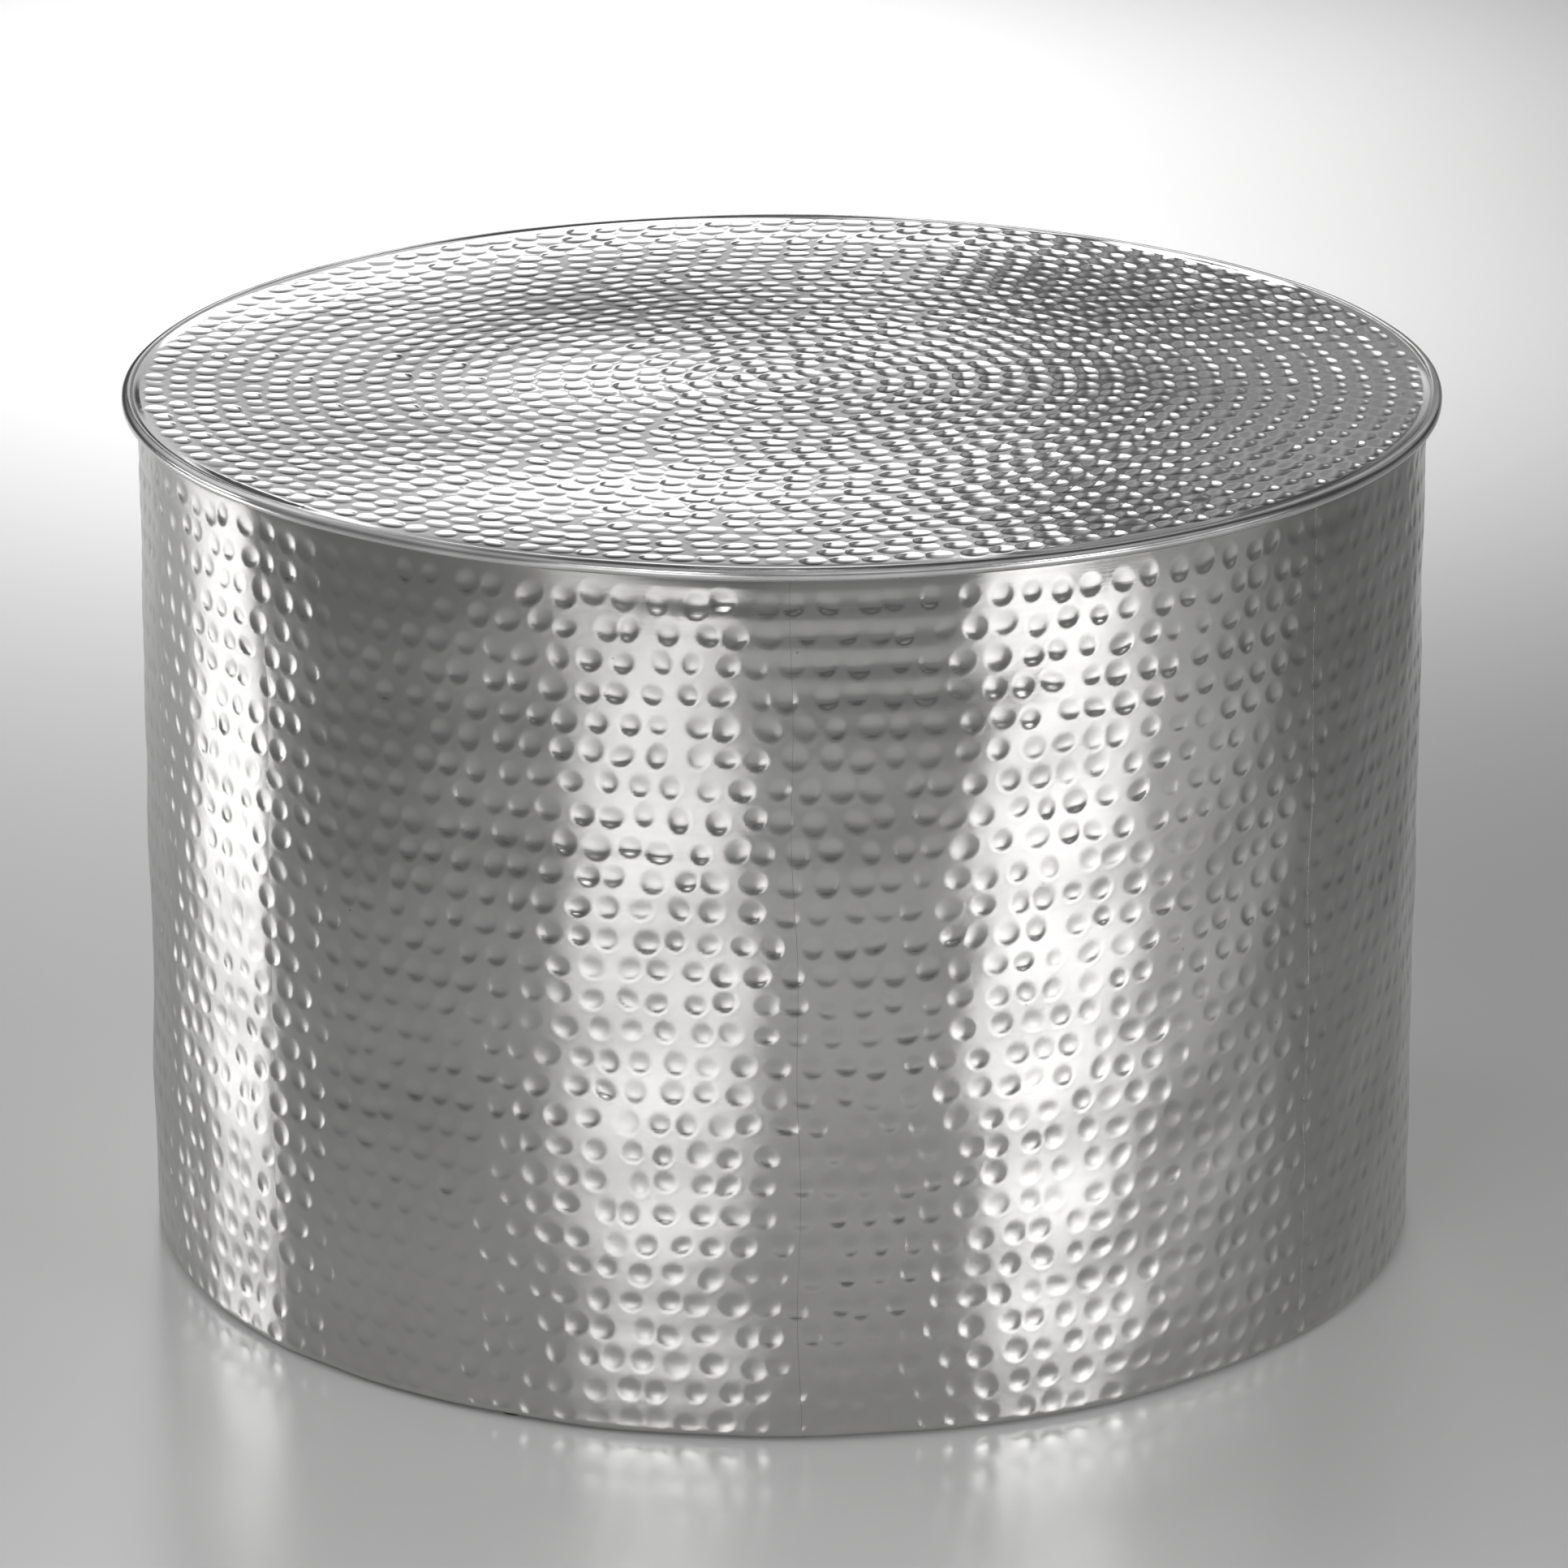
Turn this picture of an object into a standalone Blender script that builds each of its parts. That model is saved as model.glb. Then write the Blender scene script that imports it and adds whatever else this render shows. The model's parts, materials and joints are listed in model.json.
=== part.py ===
"""Hammered drum coffee table: a seam-panelled sheet drum with a lift-off, wired-edge top.

Metres, +Z up. The origin is on the floor, on the drum's axis. The top lifts along +Z, and the
empty "lid" that carries its pieces stands on that axis at the level where the top is seated.
"""

import math

import bmesh
import bpy

# Overall size: the crest of the rim above the floor, and the outside of the rim
HEIGHT = 0.411
RIM_RADIUS = 0.308

# Gap between pieces that touch
SEAT_GAP = 0.0003

# Top: a sheet with its edge curled round a wire
LID_SHEET = 0.0012
WIRE_RADIUS = 0.00175
RIM_LIP = 0.002
LIP_FILLET = 0.0015
CURL_END = math.radians(-145)
RIM_TO_WALL = 0.001

# Drum wall: panels with both edges turned in
PANEL_COUNT = 7
FRONT_SEAM = math.radians(-88.8)
SEAM_GAP = 0.0004
WALL_SHEET = 0.0012
WALL_BEND = 0.003
FLANGE_WIDTH = 0.020

# Angle rings inside the mouth and the base, and the flat bars between them
RING_SHEET = 0.0025
RING_DEPTH = 0.025
RING_WIDTH = 0.022
STRAP_SHEET = 0.002
STRAP_WIDTH = 0.024

# Drum floor and the glides under the drum
BASE_SHEET = 0.0012
GLIDE_RADIUS = 0.007
GLIDE_HEIGHT = 0.0012
GLIDE_ROUND = 0.0004

# Under the top: a collar that drops into the mouth, and angle bars
COLLAR_SHEET = 0.002
COLLAR_DEPTH = 0.020
COLLAR_WIDTH = 0.016
COLLAR_BEND = 0.004
COLLAR_CLEARANCE = 0.0015
BRACE_SHEET = 0.002
BRACE_WIDTH = 0.022
BRACE_DEPTH = 0.014
BRACE_BEND = 0.004

# Fineness of the curves
PANEL_STEPS = 10
WALL_BEND_STEPS = 3
ANGLE_BEND_STEPS = 2
FILLET_STEPS = 2
CURL_STEPS = 10
WIRE_STEPS = 8
STRAP_STEPS = 2
GLIDE_STEPS = 20

# What follows from the sizes above
FULL_TURN = 2 * math.pi
TURN_STEPS = PANEL_COUNT * PANEL_STEPS
BEAD_RADIUS = WIRE_RADIUS + SEAT_GAP + LID_SHEET
BEAD_CENTRE_R = RIM_RADIUS - BEAD_RADIUS
BEAD_CENTRE_Z = HEIGHT - BEAD_RADIUS
PLATE_TOP = HEIGHT - RIM_LIP
PLATE_UNDER = PLATE_TOP - LID_SHEET
LID_SEAT = PLATE_UNDER - SEAT_GAP
DRUM_RADIUS = RIM_RADIUS - 2 * BEAD_RADIUS - RIM_TO_WALL
WALL_BOTTOM = GLIDE_HEIGHT + SEAT_GAP
INSIDE_SHEET = WALL_SHEET + SEAT_GAP
RING_RADIUS = DRUM_RADIUS - INSIDE_SHEET
RING_BEND = max(WALL_BEND - INSIDE_SHEET, RING_SHEET + SEAT_GAP)
MOUTH_RING_TOP = LID_SEAT - INSIDE_SHEET
BASE_RING_BOTTOM = WALL_BOTTOM + INSIDE_SHEET
MOUTH_RADIUS = min(DRUM_RADIUS - FLANGE_WIDTH, RING_RADIUS - RING_WIDTH)
COLLAR_RADIUS = MOUTH_RADIUS - COLLAR_CLEARANCE
FACET_SAG = DRUM_RADIUS * (1 - math.cos(math.pi / TURN_STEPS))


def arc(centre, radius, start, end, steps):
    """Points of an arc in the (radius, height) plane, both ends included."""
    turns = [start + (end - start) * i / steps for i in range(steps + 1)]
    return [(centre[0] + radius * math.cos(a), centre[1] + radius * math.sin(a)) for a in turns]


def angle_path(radius, top, depth, width, bend, leg_on_top):
    """The outer face of a bent angle, from top to bottom: one upright leg and one turned in."""
    if leg_on_top:
        corner = arc((radius - bend, top - bend), bend, math.pi / 2, 0, ANGLE_BEND_STEPS)
        return [(radius - width, top), *corner, (radius, top - depth)]
    bottom = top - depth
    corner = arc((radius - bend, bottom + bend), bend, 0, -math.pi / 2, ANGLE_BEND_STEPS)
    return [(radius, top), *corner, (radius - width, bottom)]


def panel_path():
    """The outer face of a wall panel: turned-in top edge, upright wall, turned-in bottom edge."""
    flat_end = DRUM_RADIUS - FLANGE_WIDTH
    bend_r = DRUM_RADIUS - WALL_BEND
    upper = arc((bend_r, LID_SEAT - WALL_BEND), WALL_BEND, math.pi / 2, 0, WALL_BEND_STEPS)
    lower = arc((bend_r, WALL_BOTTOM + WALL_BEND), WALL_BEND, 0, -math.pi / 2, WALL_BEND_STEPS)
    return [(flat_end, LID_SEAT), *upper, *lower, (flat_end, WALL_BOTTOM)]


def plate_path():
    """The upper face of the top: flat plate, a fillet up into the bead, and the curl round the wire."""
    rise = PLATE_TOP + LIP_FILLET - BEAD_CENTRE_Z
    reach = BEAD_RADIUS + LIP_FILLET
    fillet_r = BEAD_CENTRE_R - math.sqrt(reach**2 - rise**2)
    meet = math.atan2(rise, fillet_r - BEAD_CENTRE_R)
    fillet_centre = (fillet_r, PLATE_TOP + LIP_FILLET)
    fillet = arc(fillet_centre, LIP_FILLET, -math.pi / 2, meet - math.pi, FILLET_STEPS)
    curl = arc((BEAD_CENTRE_R, BEAD_CENTRE_Z), BEAD_RADIUS, meet, CURL_END, CURL_STEPS)
    return [(0, PLATE_TOP), *fillet, *curl[1:]]


def new_object(name, mesh, material, parent):
    """Links a mesh into the scene as a named sub-part."""
    thing = bpy.data.objects.new(name, mesh)
    mesh.materials.append(material)
    bpy.context.collection.objects.link(thing)
    thing.parent = parent
    return thing


def path_mesh(name, path, lift, closed=False):
    """A mesh of edges along a path in the XZ plane, lowered by the parent's height."""
    edges = [(i, i + 1) for i in range(len(path) - 1)]
    if closed:
        edges.append((len(path) - 1, 0))
    mesh = bpy.data.meshes.new(name)
    mesh.from_pydata([(r, 0, z - lift) for r, z in path], edges, [])
    return mesh


def turn(thing, angle, steps):
    """Turns the object's path about Z."""
    screw = thing.modifiers.new("turn", "SCREW")
    screw.axis = "Z"
    screw.angle = angle
    screw.steps = steps
    screw.render_steps = steps
    screw.use_merge_vertices = True
    screw.merge_threshold = 0.00001
    screw.use_smooth_shade = True


def thicken(thing, sheet):
    """Gives the outer face its sheet thickness, inwards."""
    solid = thing.modifiers.new("sheet", "SOLIDIFY")
    solid.thickness = sheet
    solid.offset = -1
    solid.use_even_offset = True
    solid.use_quality_normals = True


def turned_sheet(name, path, sheet, material, parent, turned=(FRONT_SEAM, FULL_TURN, TURN_STEPS)):
    """A sheet piece turned about the drum's axis from its outer face: (start, angle, steps)."""
    start, angle, steps = turned
    thing = new_object(name, path_mesh(name, path, parent.location.z), material, parent)
    thing.rotation_euler.z = start
    turn(thing, angle, steps)
    thicken(thing, sheet)
    return thing


def folded_bar(name, length, start, heading, material, parent):
    """An angle bar under the top, from a start distance out along a heading about Z."""
    half = BRACE_WIDTH / 2
    top = LID_SEAT - parent.location.z
    corner = arc((half - BRACE_BEND, top - BRACE_BEND), BRACE_BEND, math.pi / 2, 0, ANGLE_BEND_STEPS)
    section = [(-half, top), *corner, (half, top - BRACE_DEPTH)]
    count = len(section)
    points = [(x, y, z) for x in (start, start + length) for y, z in section]
    faces = [(i, i + count, i + count + 1, i + 1) for i in range(count - 1)]
    mesh = bpy.data.meshes.new(name)
    mesh.from_pydata(points, [], faces)
    bar = new_object(name, mesh, material, parent)
    bar.rotation_euler.z = heading
    thicken(bar, BRACE_SHEET)
    return bar


def metal(name, colour, roughness, metallic=1.0):
    """A Principled material with one colour."""
    material = bpy.data.materials.new(name)
    material.use_nodes = True
    shader = material.node_tree.nodes["Principled BSDF"]
    shader.inputs["Base Color"].default_value = (*colour, 1.0)
    shader.inputs["Roughness"].default_value = roughness
    shader.inputs["Metallic"].default_value = metallic
    return material


def group(name, height):
    """An empty on the drum's axis that carries the pieces of one body."""
    empty = bpy.data.objects.new(name, None)
    empty.location.z = height
    bpy.context.collection.objects.link(empty)
    return empty


def build_wall(parent, satin, steel):
    """The panels, side by side round the drum, and the flat bars behind their seams."""
    pitch = FULL_TURN / PANEL_COUNT
    gap = SEAM_GAP / DRUM_RADIUS
    strap_angle = STRAP_WIDTH / RING_RADIUS
    strap_top = MOUTH_RING_TOP - RING_DEPTH - SEAT_GAP
    strap_bottom = BASE_RING_BOTTOM + RING_DEPTH + SEAT_GAP
    strap_r = RING_RADIUS - FACET_SAG
    strap_path = [(strap_r, strap_top), (strap_r, strap_bottom)]
    for k in range(PANEL_COUNT):
        seam = FRONT_SEAM + k * pitch
        span = (seam + gap / 2, pitch - gap, PANEL_STEPS)
        turned_sheet(f"wall_panel_{k + 1}", panel_path(), WALL_SHEET, satin, parent, span)
        strap_span = (seam - strap_angle / 2, strap_angle, STRAP_STEPS)
        turned_sheet(f"seam_strap_{k + 1}", strap_path, STRAP_SHEET, steel, parent, strap_span)


def build_rings(parent, steel):
    """The angle rings that stiffen the drum's mouth and base."""
    size = (RING_DEPTH, RING_WIDTH, RING_BEND)
    mouth = angle_path(RING_RADIUS, MOUTH_RING_TOP, *size, leg_on_top=True)
    turned_sheet("mouth_ring", mouth, RING_SHEET, steel, parent)
    base = angle_path(RING_RADIUS, BASE_RING_BOTTOM + RING_DEPTH, *size, leg_on_top=False)
    turned_sheet("base_ring", base, RING_SHEET, steel, parent)


def build_base_plate(parent, sheet_metal):
    """The drum's floor, on the base ring's turned-in leg."""
    radius = RING_RADIUS - max(RING_SHEET, RING_BEND) - SEAT_GAP
    top = BASE_RING_BOTTOM + RING_SHEET + SEAT_GAP + BASE_SHEET
    turned_sheet("base_plate", [(0, top), (radius, top)], BASE_SHEET, sheet_metal, parent)


def build_glides(parent, rubber):
    """Floor glides under the middle of each panel's turned-in bottom edge."""
    radius = DRUM_RADIUS - (WALL_BEND + FLANGE_WIDTH) / 2
    shape = bmesh.new()
    bmesh.ops.create_cone(
        shape, cap_ends=True, segments=GLIDE_STEPS,
        radius1=GLIDE_RADIUS, radius2=GLIDE_RADIUS, depth=GLIDE_HEIGHT,
    )
    lower_edges = [e for e in shape.edges if all(v.co.z < 0 for v in e.verts)]
    bmesh.ops.bevel(
        shape, geom=lower_edges, offset=GLIDE_ROUND, segments=2, profile=0.5, affect="EDGES"
    )
    mesh = bpy.data.meshes.new("glide")
    shape.to_mesh(mesh)
    shape.free()
    mesh.shade_smooth()
    mesh.set_sharp_from_angle(angle=math.radians(50))
    for k in range(PANEL_COUNT):
        heading = FRONT_SEAM + (k + 0.5) * FULL_TURN / PANEL_COUNT
        glide = new_object(f"glide_{k + 1}", mesh.copy(), rubber, parent)
        glide.location = (radius * math.cos(heading), radius * math.sin(heading), GLIDE_HEIGHT / 2)


def build_top(parent, polished, wire_steel):
    """The top plate with its curled edge, and the wire inside the curl."""
    turned_sheet("top_plate", plate_path(), LID_SHEET, polished, parent)
    section = arc((BEAD_CENTRE_R, BEAD_CENTRE_Z), WIRE_RADIUS, 0, -FULL_TURN, WIRE_STEPS)[:-1]
    mesh = path_mesh("rim_wire", section, parent.location.z, closed=True)
    wire = new_object("rim_wire", mesh, wire_steel, parent)
    wire.rotation_euler.z = FRONT_SEAM
    turn(wire, FULL_TURN, TURN_STEPS)


def build_lid_frame(parent, steel):
    """The collar that drops into the mouth, and the crossed bars inside it."""
    collar = angle_path(
        COLLAR_RADIUS, LID_SEAT, COLLAR_DEPTH, COLLAR_WIDTH, COLLAR_BEND, leg_on_top=True
    )
    turned_sheet("lid_collar", collar, COLLAR_SHEET, steel, parent)
    inside = (COLLAR_RADIUS - COLLAR_WIDTH) * math.cos(math.pi / TURN_STEPS) - SEAT_GAP
    half_width = BRACE_WIDTH / 2
    reach = math.sqrt(inside**2 - half_width**2)
    start = half_width + SEAT_GAP
    folded_bar("lid_brace_long", 2 * reach, -reach, 0, steel, parent)
    folded_bar("lid_brace_left", reach - start, start, -math.pi / 2, steel, parent)
    folded_bar("lid_brace_right", reach - start, start, math.pi / 2, steel, parent)


def build():
    """Clears the scene and builds the drum and its top."""
    for thing in list(bpy.data.objects):
        bpy.data.objects.remove(thing)
    polished = metal("polished_aluminium", (0.80, 0.80, 0.80), 0.12)
    satin = metal("satin_aluminium", (0.66, 0.65, 0.64), 0.28)
    mill = metal("mill_aluminium", (0.60, 0.60, 0.60), 0.45)
    bar_steel = metal("bar_steel", (0.35, 0.35, 0.36), 0.50)
    wire_steel = metal("wire_steel", (0.50, 0.50, 0.50), 0.40)
    rubber = metal("glide_rubber", (0.03, 0.03, 0.03), 0.80, 0.0)
    drum = group("drum", 0)
    lid = group("lid", LID_SEAT)
    build_wall(drum, satin, bar_steel)
    build_rings(drum, bar_steel)
    build_base_plate(drum, mill)
    build_glides(drum, rubber)
    build_top(lid, polished, wire_steel)
    build_lid_frame(lid, bar_steel)


build()
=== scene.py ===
"""Looks of a hammered drum coffee table: a dented sheet drum under a dimpled, wired-edge top.

Metres, +Z up, with the origin on the floor on the drum's axis. Each sub-assembly is a class that
works out its surfaces with numpy and dresses them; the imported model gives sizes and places.
"""

import json
import logging
import math
from dataclasses import dataclass, field
from enum import Enum
from typing import Any, Sequence

import bpy
import numpy as np
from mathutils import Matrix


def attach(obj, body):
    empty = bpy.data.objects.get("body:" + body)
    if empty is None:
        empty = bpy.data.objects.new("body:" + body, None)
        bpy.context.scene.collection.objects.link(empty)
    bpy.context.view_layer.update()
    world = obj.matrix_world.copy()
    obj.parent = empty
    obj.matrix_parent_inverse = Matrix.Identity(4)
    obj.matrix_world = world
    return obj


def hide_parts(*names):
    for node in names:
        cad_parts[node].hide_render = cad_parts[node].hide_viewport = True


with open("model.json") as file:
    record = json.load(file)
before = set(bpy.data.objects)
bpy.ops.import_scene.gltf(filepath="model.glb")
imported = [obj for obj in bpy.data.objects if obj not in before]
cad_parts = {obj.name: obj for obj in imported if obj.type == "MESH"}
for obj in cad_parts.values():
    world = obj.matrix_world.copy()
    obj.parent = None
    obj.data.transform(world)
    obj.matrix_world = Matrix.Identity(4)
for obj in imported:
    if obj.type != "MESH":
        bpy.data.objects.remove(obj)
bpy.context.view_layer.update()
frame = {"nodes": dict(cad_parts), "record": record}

Array = np.ndarray
Colour = tuple[float, float, float]

LOG = logging.getLogger("hammered_table")
FULL_TURN = 2.0 * math.pi
SHEET_MAP = "sheet"
SHARP_EDGE = math.radians(50)
SMALLEST = 1e-9
WHITE = (1.0, 1.0, 1.0)

# How far a hammer mark's place or size, and its depth, may stray, in standard deviations
MOST_STRAY = 2.0
MOST_DEPTH_STRAY = 1.8

# The raised edge round a hammer mark: its place and width as shares of the mark's size
RIDGE_AT = 1.12
RIDGE_WIDTH = 0.2

# The curved share of a rise that starts level and ends straight
BEND_SHARE = 0.5

# What is drawn for a seam: its lean, the heights of its two waves and where each wave starts
SEAM_DRAWS = 5

# Between which values the pattern of each shared effect turns into its mask
LINE_EDGES = (0.3, 0.7)
MARK_EDGES = (0.42, 0.68)
PIT_EDGES = (0.22, 0.10)

# A Mix node's colour sockets share their names with its other sockets, so they go by number
MIX_COLOURS = (6, 7)
MIX_RESULT = 2


class Body(str, Enum):
    """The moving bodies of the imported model."""

    DRUM = "drum"
    LID = "lid"


class Slot(str, Enum):
    """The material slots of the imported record."""

    POLISHED = "polished_aluminium"
    SATIN = "satin_aluminium"
    MILL = "mill_aluminium"
    BAR = "bar_steel"
    WIRE = "wire_steel"
    RUBBER = "glide_rubber"


class Coordinates(str, Enum):
    """What a finish's pattern follows: the object's own axes or the sheet's flat layout."""

    OBJECT = "Object"
    SHEET = "UV"


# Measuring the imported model


def node_points(name: str) -> Array:
    """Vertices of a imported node.

    Args:
        name: the node's name.

    Returns:
        Points as (count, 3), in metres.
    """
    vertices = frame["nodes"][name].data.vertices
    flat = np.empty(len(vertices) * 3, np.float32)
    vertices.foreach_get("co", flat)
    return flat.reshape(-1, 3).astype(float)


def radii(points: Array) -> Array:
    """Distances of points from the drum's axis."""
    return np.hypot(points[:, 0], points[:, 1])


def azimuth_span(points: Array) -> tuple[float, float]:
    """First and last azimuth of a piece that covers less than half a turn about the axis.

    Args:
        points: the piece's vertices.

    Returns:
        The two azimuths in radians, the first the smaller.
    """
    middle = math.atan2(points[:, 1].mean(), points[:, 0].mean())
    turned = np.angle(np.exp(1j * (np.arctan2(points[:, 1], points[:, 0]) - middle)))
    return middle + float(turned.min()), middle + float(turned.max())


# Shaping helpers on whole arrays


def smooth_step(low: float, high: float, value: Array) -> Array:
    """A cubic ease from 0 at low to 1 at high."""
    share = np.clip((value - low) / (high - low), 0.0, 1.0)
    return share * share * (3.0 - 2.0 * share)


def late_rise(low: float, high: float, value: Array) -> Array:
    """A rise from 0 at low to 1 at high: a parabola with a level start, then its tangent.

    Args:
        low: where the rise starts.
        high: where it ends.
        value: places along it.

    Returns:
        Shares of the rise.
    """
    share = np.clip((value - low) / (high - low), 0.0, 1.0)
    curved = share**2 / (BEND_SHARE * (2.0 - BEND_SHARE))
    straight = (2.0 * share - BEND_SHARE) / (2.0 - BEND_SHARE)
    return np.where(share < BEND_SHARE, curved, straight)


def soft_max(first: Array, second: Array, softness: float) -> Array:
    """The larger of two arrays, rounded where they cross: their mean plus half the softened gap."""
    return 0.5 * (first + second + np.sqrt((first - second) ** 2 + softness**2))


def around(azimuth: Array, radius: Array, height: Array) -> Array:
    """Points at a radius from the axis, at an azimuth and a height, as one (..., 3) array."""
    return np.stack([radius * np.cos(azimuth), radius * np.sin(azimuth), height], axis=-1)


def rounded_path(corners: Sequence[tuple[float, float]], bend: float, count: int) -> Array:
    """An open path with round corners, at even steps.

    Each inner corner is cut back by the bend's radius and joined by a quarter arc, and the whole is
    read at equal lengths.

    Args:
        corners: (radius, height) of the path's ends and its square corners.
        bend: radius of each round corner.
        count: number of points.

    Returns:
        Points as (count, 2).
    """
    arc_points = 24
    corner = np.asarray(corners, float)
    path = [corner[:1]]
    for before, here, after in zip(corner[:-2], corner[1:-1], corner[2:]):
        came = (here - before) / np.linalg.norm(here - before)
        goes = (after - here) / np.linalg.norm(after - here)
        turn = np.linspace(0.0, math.pi / 2, arc_points)[:, None]
        path.append(here - bend * came * (1.0 - np.sin(turn)) + bend * goes * (1.0 - np.cos(turn)))
    path.append(corner[-1:])
    return even_steps(np.concatenate(path), count)


def even_steps(path: Array, count: int) -> Array:
    """Reads a polyline at equal lengths.

    Args:
        path: the polyline as (points, 2).
        count: number of points to read.

    Returns:
        Points as (count, 2).
    """
    length = path_length(path)
    wanted = np.linspace(0.0, length[-1], count)
    return np.stack([np.interp(wanted, length, path[:, axis]) for axis in range(2)], axis=-1)


def path_length(path: Array) -> Array:
    """Length along a polyline up to each of its points."""
    steps = np.linalg.norm(np.diff(path, axis=0), axis=1)
    return np.concatenate([[0.0], np.cumsum(steps)])


@dataclass(frozen=True)
class Ripple:
    """Slow unevenness of a hand-worked sheet: a sum of plane waves with random headings.

    Attributes:
        seed: of the headings, lengths and phases.
        amplitude: of the whole sum, in metres.
        lengths: shortest and longest wave.
        waves: how many are added.
    """

    seed: int
    amplitude: float
    lengths: tuple[float, float]
    waves: int = 14

    def height(self, points: Array) -> Array:
        """Adds cosines of the distance along each wave's heading.

        Args:
            points: places as (..., 3).

        Returns:
            Offsets as (...), in metres.
        """
        draw = np.random.default_rng(self.seed)
        heading = draw.normal(size=(self.waves, 3))
        heading /= np.linalg.norm(heading, axis=1, keepdims=True)
        length = draw.uniform(*self.lengths, size=self.waves)
        phase = draw.uniform(0.0, FULL_TURN, size=self.waves)
        waves = np.cos(points @ (heading * (FULL_TURN / length)[:, None]).T + phase)
        return self.amplitude * waves.sum(axis=-1) / math.sqrt(self.waves)


@dataclass
class HammerMarks:
    """Hammer marks in rows round the axis, each with its own place, size, depth and lean.

    Attributes:
        first: row coordinate of the first row.
        pitch: distance between rows.
        counts: number of marks in each row.
        half_along: half a mark's size along its row, in metres.
        half_across: half a mark's size across its row.
        depth: of a mark.
        wander: how far a mark strays from its place, along and across, in metres.
        uneven: share by which size and depth vary.
        lean: how much deeper a mark is at its lower edge than at its middle.
        softness: rounding where a mark meets the flat.
        lip: height of the raised edge round a mark.
        seed: of all that varies.
        lip_bias: share of the raised edge that is missing at a mark's upper side.
        turned: how far marks are turned in the sheet, in radians.
        start: number of each row's first mark.
        phase: where each row starts, as a share of the distance between its marks.
        marks: what was drawn for every mark.
    """

    first: float
    pitch: float
    counts: Array
    half_along: float
    half_across: float
    depth: float
    wander: tuple[float, float]
    uneven: tuple[float, float]
    lean: tuple[float, float]
    softness: float
    lip: float
    seed: int
    lip_bias: float = 0.0
    turned: float = 0.35
    start: Array = field(init=False)
    phase: Array = field(init=False)
    marks: dict[str, Array] = field(init=False)

    def __post_init__(self) -> None:
        """Draws every mark's place, size, turn, depth and lean."""
        draw = np.random.default_rng(self.seed)
        rows = np.repeat(np.arange(len(self.counts)), self.counts)
        total = len(rows)
        self.start = np.concatenate([[0], np.cumsum(self.counts)[:-1]])
        self.phase = draw.uniform(0.0, 1.0, size=len(self.counts))
        size = 1.0 + self.uneven[0] * draw.normal(size=(2, total)).clip(-MOST_STRAY, MOST_STRAY)
        stray = draw.normal(size=(2, total)).clip(-MOST_STRAY, MOST_STRAY)
        turn = draw.normal(scale=self.turned, size=total)
        deeper = draw.normal(size=total).clip(-MOST_DEPTH_STRAY, MOST_DEPTH_STRAY)
        self.marks = {
            "place": np.arange(total) - self.start[rows] + self.phase[rows],
            "row": self.first + self.pitch * rows + self.wander[1] * stray[1],
            "stray": self.wander[0] * stray[0],
            "along": self.half_along * size[0],
            "across": self.half_across * size[1],
            "turn": turn,
            "depth": self.depth * (1.0 + self.uneven[1] * deeper),
            "lean": draw.uniform(*self.lean, size=total),
        }

    def offsets(self, turn: Array, row: Array, index: Array, count: Array) -> tuple[Array, Array]:
        """Distances from marks to points; each layout has its own.

        Args:
            turn: place of each point round the axis, as a share of a turn.
            row: its place across the rows, in metres.
            index: number of a mark near it.
            count: number of marks in that mark's row.

        Returns:
            The distances along the row and across it.
        """
        raise NotImplementedError

    def depth_at(self, turn: Array, row: Array) -> Array:
        """Depth of the hammered surface below the plain one.

        A mark is a paraboloid, depth times (1 - q squared), with q the distance from its middle as
        a share of its size. The nine nearest marks are joined by a soft maximum with the flat, and
        a low ridge runs round each at q a little over 1.

        Args:
            turn: place round the axis, as a share of a turn.
            row: place across the rows, in metres.

        Returns:
            Depths, in metres.
        """
        rows = len(self.counts)
        nearest_row = np.rint((row - self.first) / self.pitch).astype(int)
        deepest = np.zeros_like(row)
        ridge = np.zeros_like(row)
        for row_step in (-1, 0, 1):
            here = nearest_row + row_step
            real = (here >= 0) & (here < rows)
            here = here.clip(0, rows - 1)
            count = self.counts[here]
            cell = np.rint(turn * count - self.phase[here]).astype(int)
            for cell_step in (-1, 0, 1):
                index = self.start[here] + (cell + cell_step) % count
                shape, edge = self._mark(turn, row, index, count)
                deepest = soft_max(deepest, np.where(real, shape, -self.depth), self.softness)
                ridge = np.maximum(ridge, np.where(real, edge, 0.0))
        return deepest - self.lip * ridge

    def _mark(self, turn: Array, row: Array, index: Array, count: Array) -> tuple[Array, Array]:
        """One mark per point: the paraboloid, tilted by the mark's lean, and its raised edge.

        Args:
            turn: place of each point round the axis, as a share of a turn.
            row: its place across the rows, in metres.
            index: number of a mark near it.
            count: number of marks in that mark's row.

        Returns:
            The mark's depth, less than 0 outside it, and its raised edge as a share of the lip.
        """
        along, across = self.offsets(turn, row, index, count)
        cosine = np.cos(self.marks["turn"][index])
        sine = np.sin(self.marks["turn"][index])
        side = (along * cosine + across * sine) / self.marks["along"][index]
        rise = (across * cosine - along * sine) / self.marks["across"][index]
        spread = side**2 + rise**2
        tilt = 1.0 - self.marks["lean"][index] * rise.clip(-1.0, 1.0)
        away = np.sqrt(spread) + SMALLEST
        upper = 0.5 * (1.0 + rise / away)
        edge = np.exp(-(((away - RIDGE_AT) / RIDGE_WIDTH) ** 2)) * (1.0 - self.lip_bias * upper)
        return self.marks["depth"][index] * (1.0 - spread) * tilt, edge


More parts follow.
